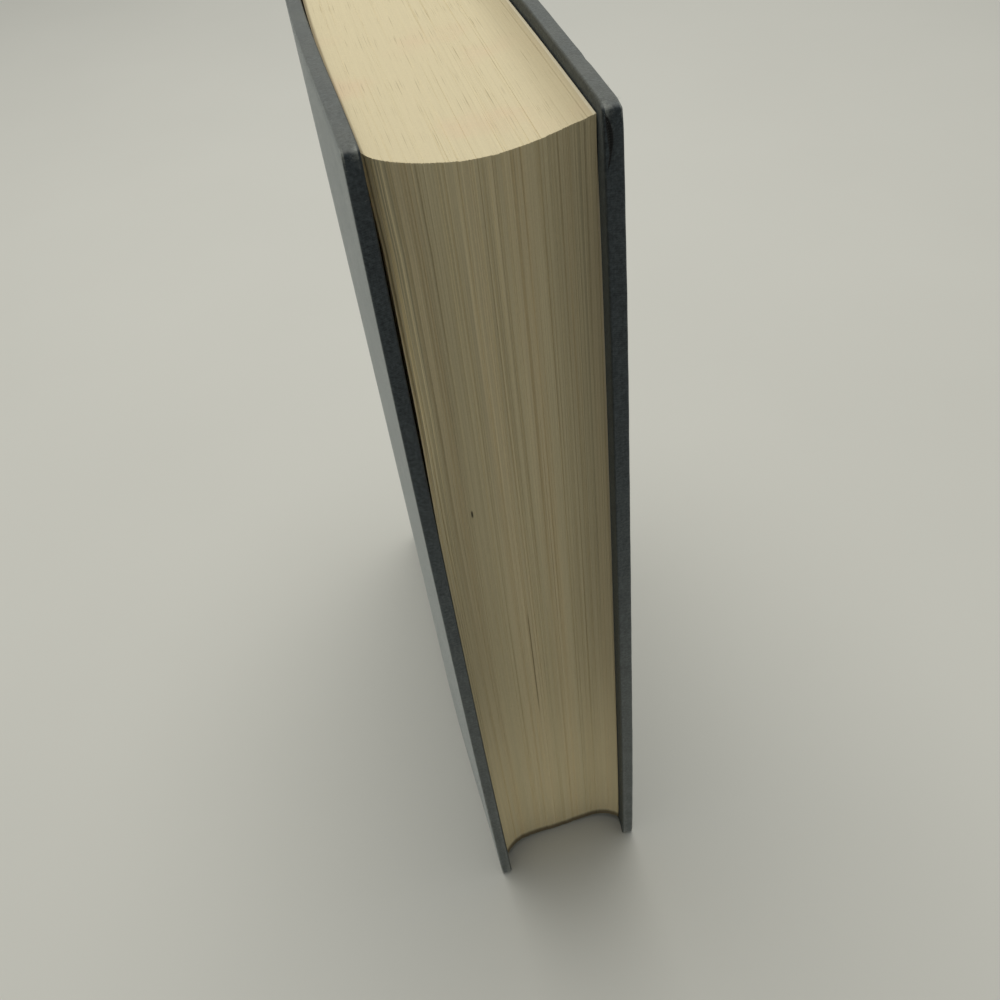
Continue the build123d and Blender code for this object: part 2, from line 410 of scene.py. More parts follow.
def make_piece(name, points, faces, finishes, finish_of=None, flat_map=None, marks=None, crease=35.0):
    """A closed smooth mesh with outward faces, an optional UV map in millimetres and vertex marks."""
    mesh = bpy.data.meshes.new(name)
    mesh.from_pydata(np.asarray(points).reshape(-1, 3).tolist(), [], faces)
    for finish in finishes:
        mesh.materials.append(finish)
    if finish_of is not None:
        mesh.polygons.foreach_set("material_index", finish_of)
    if flat_map is not None:
        map_name, flat = flat_map
        corners = np.empty(len(mesh.loops), dtype=np.int32)
        mesh.loops.foreach_get("vertex_index", corners)
        layer = mesh.uv_layers.new(name=map_name)
        layer.data.foreach_set("uv", (np.asarray(flat).reshape(-1, 2)[corners] / MM).ravel())
    for mark_name, amounts in (marks or {}).items():
        layer = mesh.attributes.new(mark_name, "FLOAT", "POINT")
        layer.data.foreach_set("value", np.asarray(amounts, dtype=np.float32).ravel())
    shape = bmesh.new()
    shape.from_mesh(mesh)
    bmesh.ops.recalc_face_normals(shape, faces=shape.faces)
    shape.to_mesh(mesh)
    shape.free()
    mesh.shade_smooth()
    mesh.set_sharp_from_angle(angle=math.radians(crease))
    piece = bpy.data.objects.new(name, mesh)
    bpy.context.collection.objects.link(piece)
    return piece


def ring_faces(rings, count, capped=True, base=0):
    """Quads between neighbouring closed rings, and a cap on the first and on the last ring."""
    faces = []
    for ring in range(rings - 1):
        here = base + ring * count
        there = here + count
        for step in range(count):
            after = (step + 1) % count
            faces.append((here + step, here + after, there + after, there + step))
    if capped:
        faces.append(tuple(range(base, base + count)))
        last = base + (rings - 1) * count
        faces.append(tuple(range(last, last + count)))
    return faces


def cover_bow(side, y, z):
    """How far a cover has warped outwards: the front one arches, the rear one leans out past the joint."""
    share = np.clip((cover_back_y - y) / cover_width, 0, 1)
    rise = np.clip(z / overall_height, 0, 1)
    if side < 0:
        pinch = share**6 * np.abs(2 * rise - 1) ** 2.5
        return (front_arch * np.sin(math.pi * share) ** 1.5 + front_bow * share) * (1 - pinch)
    pinch = share**4 * np.abs(2 * rise - 1) ** 4
    return rear_bow * smooth(share, 0, 0.8) * (1 - pinch)


# The leaves
leaf_count = 224
section_leaves = 8
rise_steps = 28
depth_steps = 32
fanned_leaves = 10
columns = 2 * leaf_count + 1
# Along each edge: how far leaves and sections stand proud, and how deep the gaps between leaves are
fore_steps = (0.018 * MM, 0.03 * MM, 0.03 * MM)
head_steps = (0.014 * MM, 0.02 * MM, 0.016 * MM)
tail_steps = (0.03 * MM, 0.03 * MM, 0.04 * MM)
fore_wave = 0.02 * MM
head_wave = 0.016 * MM
fan_gap = 0.14 * MM
# The rounded head corner of the first leaves
corner_wear = 2.2 * MM
corner_wear_reach = 0.9 * MM
# Shares of the height between which the leaves draw away from the front cover
parted_start = 0.6
parted_full = 0.8
parted_fade = 0.92
parted_amount = 1.7


def leaf_place(side_share, depth_share, rise_share):
    """Where a point of a leaf lies: side_share -1 to 1 across the block, the others along the leaf."""
    level = block_tail + leaf_height * rise_share
    tail_side = front_y + fore_square - head_lean / 2
    head_side = front_y + fore_square + head_lean / 2
    tail_y = tail_side + tail_hollow * (1 - np.abs(side_share) ** tail_flatness)
    tail_y = tail_y - tail_lead + tail_twist * side_share
    head_y = head_side - head_bulge * (1 - side_share**2)
    head_y = head_y - head_lead * np.clip(side_share, 0, 1) ** 4
    flared = np.clip(side_share, 0, 1) ** 6 * rise_share**24
    fore_y = tail_y + (head_y - tail_y) * level / overall_height - corner_flare * flared
    back_y = back_centre_y + np.sqrt(back_radius**2 - (side_share * tip_half) ** 2)
    y = fore_y + (back_y - fore_y) * depth_share
    flare = np.clip((y - flare_y) / shoulder_length, 0, 1) ** 2
    swell = fore_swell * smooth(cover_back_y - y, 0, cover_width)
    parted = smooth(rise_share, parted_start, parted_full) * (1 - smooth(rise_share, parted_fade, 1.0))
    swell = swell * np.where(side_share < 0, 1 - parted_amount * parted, 1.0)
    warp = np.where(side_share < 0, cover_bow(-1, y, level), cover_bow(1, y, level))
    x = side_share * (block_half + (tip_half - block_half) * flare + swell + warp)
    fade = np.clip((flare_y - y) / (flare_y - front_y), 0, None)
    z = level + (corner_lift * flared - sag * (1 - side_share**2)) * fade
    return np.stack((x, y, z), axis=-1)


def leaf_steps(step, section_step, gap):
    """How far each leaf edge stands proud, on columns that alternate gap, leaf, gap."""
    sections = random.normal(0, section_step, leaf_count // section_leaves)
    proud = random.normal(0, step, leaf_count) + np.repeat(sections, section_leaves)
    edges = np.empty(columns)
    edges[1::2] = proud
    edges[0] = proud[0]
    edges[-1] = proud[-1]
    depth = gap * (0.5 + 2.5 * random.random(leaf_count - 1) ** 4)
    edges[2:-1:2] = np.minimum(proud[:-1], proud[1:]) - depth
    return edges[:, None]


def leaf_waves(shares, swing):
    """A slow wave of each leaf along its edge."""
    turns = random.uniform(0.4, 2.2, (columns, 1))
    phases = random.uniform(0, 2 * math.pi, (columns, 1))
    return swing * np.sin(2 * math.pi * turns * shares + phases)


def make_leaves():
    """The block: each leaf is a ring of points round its edge, and the outer leaves have a side."""
    rise = np.linspace(0, 1, rise_steps)
    depth = np.linspace(0, 1, depth_steps)
    ring = [(0, j) for j in range(rise_steps)]
    ring += [(i, rise_steps - 1) for i in range(1, depth_steps)]
    ring += [(depth_steps - 1, j) for j in range(rise_steps - 2, -1, -1)]
    ring += [(i, 0) for i in range(depth_steps - 2, 0, -1)]
    depth_share = depth[[i for i, j in ring]]
    rise_share = rise[[j for i, j in ring]]
    side_share = np.linspace(-1, 1, columns)[:, None]
    points = leaf_place(side_share, depth_share, rise_share)

    fore_proud = leaf_steps(*fore_steps) + leaf_waves(rise_share, fore_wave)
    head_proud = leaf_steps(*head_steps) + leaf_waves(depth_share, head_wave)
    tail_proud = leaf_steps(*tail_steps)
    # The first leaves have come apart towards the head, and their corner has rounded off
    from_front = (side_share + 1) * block_half
    fan = np.zeros((columns, 1))
    fan[2 : 2 * fanned_leaves : 2, 0] = random.uniform(0.1, 1.0, fanned_leaves - 1)
    fore_proud = fore_proud - fan_gap * fan * rise_share**2
    fore_proud = fore_proud - corner_wear * np.exp(-from_front / corner_wear_reach) * rise_share**12
    points[..., 1] -= (depth_share == 0) * fore_proud
    points[..., 2] += (rise_share == 1) * head_proud
    points[..., 2] -= (rise_share == 0) * tail_proud

    strides = np.linalg.norm(np.diff(points[leaf_count], axis=0), axis=1)
    travel = np.concatenate(([0.0], np.cumsum(strides)))
    travel = travel * leaf_height / travel[rise_steps - 1]
    flat = np.stack(np.broadcast_arrays(side_share * block_half, travel), axis=-1)

    count = len(ring)
    points = points.reshape(-1, 3)
    faces = ring_faces(columns, count, capped=False)
    finish_of = [0] * len(faces)
    # The outer sides of the first and of the last leaf, filled in from their rings
    inner = [(i, j) for i in range(1, depth_steps - 1) for j in range(1, rise_steps - 1)]
    for column, share in ((0, -1.0), (columns - 1, 1.0)):
        number = {place: column * count + k for k, place in enumerate(ring)}
        number.update({place: len(points) + k for k, place in enumerate(inner)})
        side = [leaf_place(np.array(share), depth[i], rise[j]) for i, j in inner]
        points = np.concatenate((points, np.array(side)))
        for i in range(depth_steps - 1):
            for j in range(rise_steps - 1):
                cell = ((i, j), (i + 1, j), (i + 1, j + 1), (i, j + 1))
                faces.append(tuple(number[place] for place in cell))
                finish_of.append(1)
    flat = np.concatenate((flat.reshape(-1, 2), np.zeros((2 * len(inner), 2))))
    finishes = (leaf_edges, flyleaf)
    return make_piece("leaves", points, faces, finishes, finish_of, ("leaf", flat), crease=60.0)


# The covers are built from outlines, inset from the edges, at levels below the outer face
outline_counts = {"end": 60, "corner": 9, "fore": 330, "back": 60}
roll_turns = np.radians(np.arange(0, 91, 15))
flat_insets = [inset * MM for inset in (1.4, 2.2, 3.4, 5.0, 8.0, 12.0)]
face_insets = flat_insets + [inset * MM for inset in (20.0, 32.0, 46.0, 58.0, 64.5)]
least_corner = 0.15 * MM
face_back_gap = 0.4 * MM


def cover_outline(inset, back_inset, corner):
    """Depth and height round a cover: along the tail, up the fore edge, along the head, down the back."""
    low_y = front_y + inset
    high_y = cover_back_y - back_inset
    low_z = inset
    high_z = overall_height - inset
    bend = np.linspace(0, math.pi / 2, outline_counts["corner"], endpoint=False)
    tail_y = np.linspace(high_y, low_y + corner, outline_counts["end"], endpoint=False)
    fore_z = np.linspace(low_z + corner, high_z - corner, outline_counts["fore"], endpoint=False)
    head_y = np.linspace(low_y + corner, high_y, outline_counts["end"], endpoint=False)
    back_z = np.linspace(high_z, low_z, outline_counts["back"], endpoint=False)
    runs = [
        (tail_y, np.full_like(tail_y, low_z)),
        (low_y + corner * (1 - np.sin(bend)), low_z + corner * (1 - np.cos(bend))),
        (np.full_like(fore_z, low_y), fore_z),
        (low_y + corner * (1 - np.cos(bend)), high_z - corner * (1 - np.sin(bend))),
        (head_y, np.full_like(head_y, high_z)),
        (np.full_like(back_z, high_y), back_z),
    ]
    return np.concatenate([np.stack(run, axis=-1) for run in runs])


def cover_rings(path):
    """Depth, height and level of the rings of a path of (inset, level, back inset)."""
    outlines = []
    for inset, level, back_inset in path:
        corner = max(corner_round - inset, least_corner)
        outlines.append(cover_outline(inset, back_inset, corner))
    y, z = np.moveaxis(np.array(outlines), -1, 0)
    level = np.array([[level] for inset, level, back_inset in path]) + np.zeros_like(y)
    return y, z, level


# A nick in the head of the rear cover, at the outer face
nick_y = -56.2 * MM
nick_width = 0.55 * MM
nick_depth = 0.7 * MM
nick_reach = 1.5 * MM
nick_level = 1.0 * MM
# The bruised corners, and the swollen fore edge of the rear cover
bruise_reach = 2.2 * MM
bruise_drop = 0.2 * MM
bruise_outer_drop = 0.3 * MM
bruise_push = 0.25 * MM
swell_reach = 2.4 * MM


def cover_points(side, y, z, level):
    """Points of a cover, with its bow, its corners bruised and its fore edge slid at head and tail."""
    x = side * (cover_outer - level + cover_bow(side, y, z))
    to_end = np.minimum(z, overall_height - z)
    bruise = np.exp(-((y - front_y) ** 2 + to_end**2) / bruise_reach**2)
    drop = bruise * np.where(z > overall_height / 2, bruise_drop, -bruise_drop)
    if side > 0:
        near_face = np.exp(-((level / nick_level) ** 2))
        nick = np.exp(-(((y - nick_y) / nick_width) ** 2) - (to_end / nick_reach) ** 2)
        chipped = bruise**2 * bruise_outer_drop + nick * nick_depth
        drop = drop + (z > overall_height / 2) * near_face * chipped
        at_fore = np.exp(-(((y - front_y) / swell_reach) ** 2))
        x = x - edge_swell * smooth(level, 0, cover_thickness) * at_fore
    rise = z / overall_height
    slide = tail_slides[side] * (1 - rise) + head_slides[side] * rise
    slide = slide * np.clip((cover_back_y - y) / cover_width, 0, 1)
    return np.stack((x, y + bruise * bruise_push - slide, z - drop), axis=-1)


def arris_place(skin, turn):
    """A place on the roll of the cloth round the inner arris of a cover."""
    radius = edge_round - skin
    inset = skin + radius * (1 - math.sin(turn))
    return inset, cover_thickness - skin - radius * (1 - math.cos(turn)), skin


# How the cloth draws in along the cover's back edge: on the outer roll, and along the turn-ins
roll_back_share = 1.5
turn_in_back_share = 0.04
# The rings of the tear stand in for others that lie within this turn
least_turn = 0.1


def cloth_path(skin, more_turns=()):
    """One face of a cover's cloth, from the middle of the outer face to the cut edge of the turn-in."""
    radius = edge_round - skin
    path = [(inset, skin, inset + face_back_gap) for inset in face_insets[::-1]]
    for turn in roll_turns[::-1]:
        inset = skin + radius * (1 - math.cos(turn))
        path.append((inset, skin + radius * (1 - math.sin(turn)), roll_back_share * inset))
    spaced = [turn for turn in roll_turns if all(abs(turn - more) > least_turn for more in more_turns)]
    for turn in sorted(spaced + list(more_turns), reverse=True):
        path.append(arris_place(skin, turn))
    inside = cover_thickness - skin
    path += [(inset, inside, skin + turn_in_back_share * inset) for inset in flat_insets + [turn_in]]
    return path


# The tear in the rear cover's cloth, which leaves the inner arris of its fore edge and turns back to it
tear_top = overall_height - 1.0 * MM
tear_length = 6.2 * MM
tear_return = 0.42
tear_width = 0.66 * MM
tear_slant = 0.42 * MM
tear_depth = 0.26 * MM
tear_turn = math.radians(80)
tear_lip = math.radians(5)
tear_fullness = 0.8
slant_curve = 1.5
tear_shade_strength = 5
# Rings beside the bed of the tear: which one, its share of the opening and the strength of its painted
# shade
tear_rings = ((-1, 1.0, 0.25), (0, 0.5, 1.0), (1, 0.0, 0.25))
# The crack that turns back below the tear, in shares of the tear's width and length
crack_width = 0.2
crack_start = 0.8
crack_full = 1.0
crack_fade = 1.25
# How the edges wander
drift_lengths = np.array([61.0, 23.0, 9.0]) * MM
drift_inset = 4 * MM
drift_reach = 2 * MM
fore_swing = 0.1 * MM
end_swing = 0.06 * MM
# How the cloth is rubbed along its edges and rolls, and more at the corners and towards the tail
rub_reach = 0.6 * MM
edge_rub = 0.24
roll_rub = 0.75
even_rub = 0.4
tail_rub = 0.5
tail_rub_height = 0.6 * overall_height
corner_rub = 0.9
corner_rub_reach = 2.5 * MM
unrubbed_back = 2 * MM
# Where the marks of the outer face and of the fore edge begin and end
face_mark_inset = 4 * MM
fore_mark_depth = 0.3 * MM
fore_mark_fade = 0.9 * MM


def make_cover_cloth(name, side, torn):
    """Cloth drawn round a cover's board: outer face, edges and turn-ins, as one thin closed skin."""
    tear_turns = (tear_turn + tear_lip, tear_turn, tear_turn - tear_lip)
    outside = cloth_path(0.0, tear_turns)
    bed = next(k for k, place in enumerate(outside) if place == arris_place(0.0, tear_turn))
    path = outside + cloth_path(cloth_thickness)[::-1]
    y, z, level = cover_rings(path)
    inset = np.array([[place[0]] for place in path])

    wave = 2 * math.pi / drift_lengths
    fore_phase, end_phase = random.uniform(0, 2 * math.pi, (2, 3))
    near_edge = np.exp(-inset / drift_inset)
    fore_drift = np.sin(z[..., None] * wave + fore_phase).mean(axis=-1)
    end_drift = np.sin(y[..., None] * wave + end_phase).mean(axis=-1)
    to_end = np.minimum(z, overall_height - z)
    upward = np.where(z > overall_height / 2, 1, -1)
    to_corner = np.hypot(y - front_y, to_end)
    y += near_edge * np.exp(-(y - front_y - inset) / drift_reach) * fore_swing * fore_drift
    z += near_edge * np.exp(-(to_end - inset) / drift_reach) * end_swing * (end_drift - 1) * upward

    # Painted shade inside the tear, darkest along its bed
    tear_shade_mark = np.zeros_like(y)
    if torn:
        share = np.clip((tear_top - z) / tear_length, 0, 1 + tear_return)
        on_tear = (y < front_y + edge_round) * (z > overall_height / 2)
        lens = np.clip(4 * share * (1 - share), 0, 1) ** tear_fullness
        crack = crack_width * smooth(share, crack_start, crack_full)
        crack = crack * (1 - smooth(share, crack_fade, 1 + tear_return))
        gape = np.maximum(lens, crack) * on_tear
        slant = tear_slant * np.clip(share, 0, 1) ** slant_curve
        slant = slant * (1 - np.clip(share - 1, 0, None) / tear_return)
        for beside, reach, dark in tear_rings:
            ring = bed + beside
            level[ring] -= gape[ring] * tear_width * reach + slant[ring] * on_tear[ring]
            tear_shade_mark[ring] = np.clip(gape[ring] * tear_shade_strength, 0, 1) * dark
        y[bed] += gape[bed] * tear_depth

    strides = [math.dist(a[:2], b[:2]) for a, b in zip(outside, outside[1:])]
    unrolled = face_insets[-1] - np.concatenate(([0.0], np.cumsum(strides)))
    unrolled = np.concatenate((unrolled, [place[0] for place in path[len(outside) :]]))
    flat = [cover_outline(u, place[2], least_corner) for u, place in zip(unrolled, path)]

    on_face = np.exp(-np.clip(inset - edge_round, 0, None) / rub_reach)
    outer_roll = np.arange(len(path))[:, None] < bed
    worn = np.where(inset == 0, edge_rub, np.where(outer_roll, roll_rub, 0.0))
    scuffed = tail_rub * (1 - smooth(z, 0, tail_rub_height))
    rub = on_face * worn * (even_rub + scuffed + corner_rub * np.exp(-to_corner / corner_rub_reach))
    rub *= y < cover_back_y - unrubbed_back
    face = smooth(inset, edge_round, face_mark_inset) * outer_roll + np.zeros_like(y)
    fore = 1 - smooth(y, front_y + fore_mark_depth, front_y + fore_mark_fade)
    marks = {"rub": rub, "torn": tear_shade_mark, "face": face, "fore": fore}
    rings, count = y.shape
    faces = ring_faces(rings, count)
    # The inner roll and the turn-ins take the darker finish, with painted shade
    finish_of = [int(bed + 1 < ring < len(outside)) for ring in range(rings - 1) for _ in range(count)]
    finishes = (case_cloth, turn_in_painted_shade_cloth)
    points = cover_points(side, y, z, level)
    # The rear cover is cut from another place in the cloth
    thread_map = ("threads", np.array(flat) + max(side, 0) * cover_width)
    return make_piece(name, points, faces, finishes, finish_of + [0, 0], thread_map, marks)


# The boards
board_bevel = 0.4 * MM
board_crush = 0.85 * MM
board_gap = 0.01 * MM


def make_board(name, side):
    """The board in a cover, with crushed edges."""
    skin = cloth_thickness + board_gap
    far = cover_thickness - skin
    half_path = [(inset, skin, inset + face_back_gap) for inset in face_insets[::-1]]
    half_path.append((board_crush + board_bevel, skin, skin + board_bevel))
    half_path.append((board_crush, skin + board_bevel, skin))
    path = half_path + [(inset, skin + far - level, back) for inset, level, back in half_path[::-1]]
    y, z, level = cover_rings(path)
    return make_piece(name, cover_points(side, y, z, level), ring_faces(*y.shape), (pulp_board,))


# The paper pasted inside a cover lies on the board and climbs onto the turn-ins
paper_thickness = 0.2 * MM
paper_margin = 4.8 * MM
paper_climb_start = turn_in + 0.2 * MM
paper_climb_end = turn_in - 0.3 * MM
paper_insets = [inset * MM for inset in (12.0, 8.0, 6.0)]
paper_back_share = 0.02


def make_pastedown(name, side):
    """The endpaper pasted inside a cover, with the ridge where it climbs onto the turn-ins."""
    on_board = cover_thickness - cloth_thickness
    on_cloth = cover_thickness
    under = [(inset, on_board) for inset in face_insets[::-1] if inset > turn_in]
    under += [(paper_climb_start, on_board), (paper_climb_end, on_cloth)]
    under += [(inset, on_cloth) for inset in paper_insets + [paper_margin]]
    over = [(inset, level + paper_thickness) for inset, level in under[::-1]]
    path = [(inset, level, cloth_thickness + paper_back_share * inset) for inset, level in under + over]
    y, z, level = cover_rings(path)
    return make_piece(name, cover_points(side, y, z, level), ring_faces(*y.shape), (endpaper,))


# Fibres that have worked loose at the worn corners
fray_count = 90
fray_points = 6
fray_levels = [level * MM for level in (0.25, 0.6, 1.4, 2.2, 2.55)]
fray_turns = (0.0, 2.1, 4.2)
fray_spread = 2.0 * MM
fray_start = 0.7 * MM
fray_fore_share = 0.4
fray_fore_depth = 0.45 * MM
fray_head_depth = 0.4 * MM
fray_lean = 0.7
fray_lengths = (0.4 * MM, 0.8 * MM)
fray_widths = (0.014 * MM, 0.026 * MM)


def make_fray(name, side):
    """Loose fibres rooted in the cloth at the head corner of a cover."""
    points = []
    faces = []
    for _ in range(fray_count):
        spread = random.exponential(fray_spread) + fray_start
        on_fore = random.random() < fray_fore_share
        root_y = front_y + (fray_fore_depth if on_fore else spread)
        root_z = overall_height - (spread if on_fore else fray_head_depth)
        level = random.choice(fray_levels)
        out = Vector((0.0, -1.0, 0.0)) if on_fore else Vector((0.0, 0.0, 1.0))
        lean = Vector(random.normal(0, fray_lean, 3))
        curl = Vector(random.normal(0, fray_lean, 3))
        length = random.uniform(*fray_lengths)
        width = random.uniform(*fray_widths)
        root = Vector(cover_points(side, root_y, root_z, level))
        base = len(points)
        for step in range(fray_points):
            share = step / (fray_points - 1)
            centre = root + (out * 0.9 + lean * 0.4 * share + curl * 0.3 * share**2) * length * share
            thin = width * (1 - 0.7 * share)
            for turn in fray_turns:
                beside = Vector((math.cos(turn), 0.7 * math.sin(turn), math.sin(turn)))
                points.append(centre + beside * thin)
        faces += ring_faces(fray_points, len(fray_turns), base=base)
    return make_piece(name, points, faces, (frayed_fibre,))


# The cloth over the spine and the joints
groove_level = block_half + 0.45 * MM
joint_overlap = 1.2 * MM
spine_half_angle = 28.5
spine_arc_points = 34
spine_stride = 0.45 * MM
bend_radii = (0.8 * MM, 1.5 * MM, 1.5 * MM, 1.2 * MM, 1.2 * MM)
groove_back = flare_y + 1.6 * MM
groove_front = flare_y - 0.2 * MM
board_back = cover_back_y + cloth_thickness + 0.05 * MM
hem_fold = 0.62 * MM
hem_length = 2.2 * MM
hem_end = tip_y + 0.6 * MM
full_fold_start = tip_y + 2.6 * MM
climb_points = 46
tuck_points = 6
fold_points = 9
# How the spine is rubbed at its ends and along its shoulders
end_rub = 0.75
end_rub_reach = 0.8 * MM
shoulder_rub = 0.28
shoulder_rub_reach = 0.9 * MM
shoulder_rub_back = 2 * MM


def rounded_run(corners, radii, stride):
    """Points along a run of straight lines whose inner corners are rounded by arcs."""
    corners = [np.array(corner) for corner in corners]
    run = [corners[0]]
    arc_shares = np.linspace(0, 1, 10)
    for before, corner, after, radius in zip(corners, corners[1:], corners[2:], radii):
        back = (before - corner) / np.linalg.norm(before - corner)
        on = (after - corner) / np.linalg.norm(after - corner)
        half = math.acos(np.clip(back @ on, -1, 1)) / 2
        reach = radius / math.tan(half)
        centre = corner + (back + on) / np.linalg.norm(back + on) * radius / math.sin(half)
        first = corner + back * reach - centre
        last = corner + on * reach - centre
        sweep = math.pi - 2 * half
        steps = max(int(np.linalg.norm(centre + first - run[-1]) / stride), 1)
        run += [run[-1] + (centre + first - run[-1]) * k / steps for k in range(1, steps)]
        for share in arc_shares:
            weights = math.sin(sweep * (1 - share)), math.sin(sweep * share)
            run.append(centre + (first * weights[0] + last * weights[1]) / math.sin(sweep))
    steps = max(int(np.linalg.norm(corners[-1] - run[-1]) / stride), 1)
    start = run[-1]
    run += [start + (corners[-1] - start) * k / steps for k in range(1, steps + 1)]
    return np.array(run)


def spine_line():
    """Plan of the outer face of the cloth, from the middle of the spine to the rear cover's face."""
    radius = spine_high.y - back_centre_y
    angles = np.radians(np.linspace(0, spine_half_angle, spine_arc_points))
    arc = np.stack((radius * np.sin(angles), back_centre_y + radius * np.cos(angles)), axis=-1)
    end_x, end_y = arc[-1]
    wall = spine_high.x
    roll_y = end_y - (wall - end_x) * math.tan(math.radians(spine_half_angle))
    corners = (
        (end_x, end_y),
        (wall, roll_y),
        (wall, groove_back),
        (groove_level, groove_front),
        (groove_level, board_back),
        (cover_outer, board_back),
        (cover_outer, cover_back_y - joint_overlap),
    )
    return np.concatenate((arc[:-1], rounded_run(corners, bend_radii, spine_stride)))


def fold_loop(fold, length):
    """Height and depth round a strip of cloth whose two ends are folded inwards over the case."""
    half = fold / 2
    bend = np.linspace(0, math.pi, fold_points)[1:-1]
    tight = max(half - cloth_thickness, 0.01 * MM)
    top = overall_height - half
    climb = np.linspace(half, top, climb_points)
    tuck = np.linspace(top, overall_height - length, tuck_points)
    outside = [(z, 0.0) for z in climb]
    head = [(top + half * math.sin(a), half - half * math.cos(a)) for a in bend]
    head += [(z, fold) for z in tuck]
    head += [(z, fold - cloth_thickness) for z in tuck[::-1]]
    head += [(top + tight * math.sin(a), half + tight * math.cos(a)) for a in bend]
    inside = [(z, cloth_thickness) for z in climb[::-1]]
    tail = [(overall_height - z, depth) for z, depth in head[::-1]]
    return np.array(outside + head + inside + tail)


def make_spine_half(name, side):
    """Half of the spine's cloth with its joint, as a strip from the spine's middle to a cover."""
    line = spine_line()
    ahead = np.gradient(line, axis=0)
    ahead /= np.linalg.norm(ahead, axis=1)[:, None]
    travel = np.concatenate(([0.0], np.cumsum(np.linalg.norm(np.diff(line, axis=0), axis=1))))
    rings = []
    flat = []
    rub = []
    for (x, y), (ahead_x, ahead_y), run in zip(line, ahead, travel):
        on_spine = smooth(y, hem_end, full_fold_start)
        fold = hem_fold + (spine_fold - hem_fold) * on_spine
        loop = fold_loop(fold, hem_length + (turn_in - hem_length) * on_spine)
        z, depth = loop.T
        rings.append(np.stack((side * (x + ahead_y * depth), y - ahead_x * depth, z), axis=-1))
        strides = np.linalg.norm(np.diff(loop, axis=0), axis=1)
        flat.append([(side * run, way) for way in np.concatenate(([0.0], np.cumsum(strides)))])
        to_end = np.minimum(z, overall_height - z)
        at_end = end_rub * np.exp(-to_end / end_rub_reach)
        at_shoulder = math.exp(-abs(y - tip_y - shoulder_rub_back) / shoulder_rub_reach) * (x > tip_half)
        rub.append(np.clip(at_end + shoulder_rub * at_shoulder, 0, 1))
    bare = np.zeros_like(rub)
    marks = {"rub": np.array(rub), "torn": bare, "face": bare + 1, "fore": bare}
    faces = ring_faces(len(rings), len(rings[0]))
    thread_map = ("threads", np.array(flat))
    return make_piece(name, np.array(rings), faces, (case_cloth,), None, thread_map, marks)


# The endpaper across the joint, from the first leaf to the paper in the cover
joint_paper_front = 54.6 * MM
joint_paper_back = 62.7 * MM
joint_paper_thickness = 0.08 * MM
joint_paper_steps = 60
joint_paper_rings = 40
cover_paper_end = 55.6 * MM
leaf_paper_start = 56.9 * MM
leaf_paper_gap = 0.04 * MM
cover_paper_step = 0.26 * MM
leaf_paper_margin = 0.2 * MM


def make_joint_paper(name, side):
    """The strip of endpaper that crosses a joint."""
    y = np.linspace(joint_paper_front, joint_paper_back, joint_paper_steps)
    on_cover = 1 - smooth(y, cover_paper_end, leaf_paper_start)
    x = block_half + leaf_paper_gap + cover_paper_step * on_cover
    loop_x = np.concatenate((x, x[::-1] + joint_paper_thickness))
    loop_y = np.concatenate((y, y[::-1]))
    middle = overall_height / 2
    on_cover = np.concatenate((on_cover, on_cover[::-1]))
    leaf_half = middle - block_tail - leaf_paper_margin
    half_height = leaf_half + (middle - paper_margin - leaf_half) * on_cover
    rings = []
    for share in np.linspace(-1, 1, joint_paper_rings):
        rings.append(np.stack((side * loop_x, loop_y, middle + share * half_height), axis=-1))
    return make_piece(name, np.array(rings), ring_faces(len(rings), len(loop_x)), (endpaper,))


# The bands at the head and tail of the spine
bead_radius = 1.1 * MM
thread_pitch = 0.62 * MM
band_half_angle = math.radians(27.0)
tape_radius = lining_high.y - back_centre_y
tape_thickness = 0.3 * MM
tape_height = 10.0 * MM
tape_steps = 40
bead_sides = 18
steps_per_thread = 7
bead_end_share = 0.55
thread_relief = 0.1


def round_back(angle, radius, z):
    """A point near the rounded back of the block."""
    return np.stack((radius * np.sin(angle), back_centre_y + radius * np.cos(angle), z), axis=-1)


def make_band(name, level, outward):
    """A band at the end of the spine: thread wound over a cord, sewn to a tape on the lining."""
    path_radius = tape_radius + tape_thickness - bead_radius
    length = 2 * band_half_angle * path_radius
    steps = int(length / thread_pitch) * steps_per_thread
    around = np.linspace(0, 2 * math.pi, bead_sides, endpoint=False)
    angles = np.linspace(-band_half_angle, band_half_angle, steps)[:, None]
    travel = (angles + band_half_angle) * path_radius
    from_end = np.clip(np.minimum(travel, length - travel) / bead_radius, 0, 1)
    wound = np.abs(np.sin(math.pi * travel / thread_pitch + around * 0.5))
    full = bead_end_share + (1 - bead_end_share) * np.sqrt(from_end)
    radius = bead_radius * full * (1 - thread_relief + thread_relief * wound)
    bead_z = level + outward * bead_radius
    bead = round_back(angles, path_radius + radius * np.cos(around), bead_z + radius * np.sin(around))
    foot = bead_z - outward * (tape_height + bead_radius)
    tape_angles = np.linspace(-band_half_angle, band_half_angle, tape_steps)[:, None]
    tape_out = tape_radius + tape_thickness
    corner_radius = np.array([tape_radius, tape_out, tape_out, tape_radius]) + 0 * tape_angles
    corner_z = np.array([bead_z, bead_z, foot, foot]) + 0 * tape_angles
    tape = round_back(tape_angles, corner_radius, corner_z)
    points = np.concatenate((bead.reshape(-1, 3), tape.reshape(-1, 3)))
    faces = ring_faces(steps, bead_sides) + ring_faces(tape_steps, 4, base=steps * bead_sides)
    return make_piece(name, points, faces, (band_thread,))


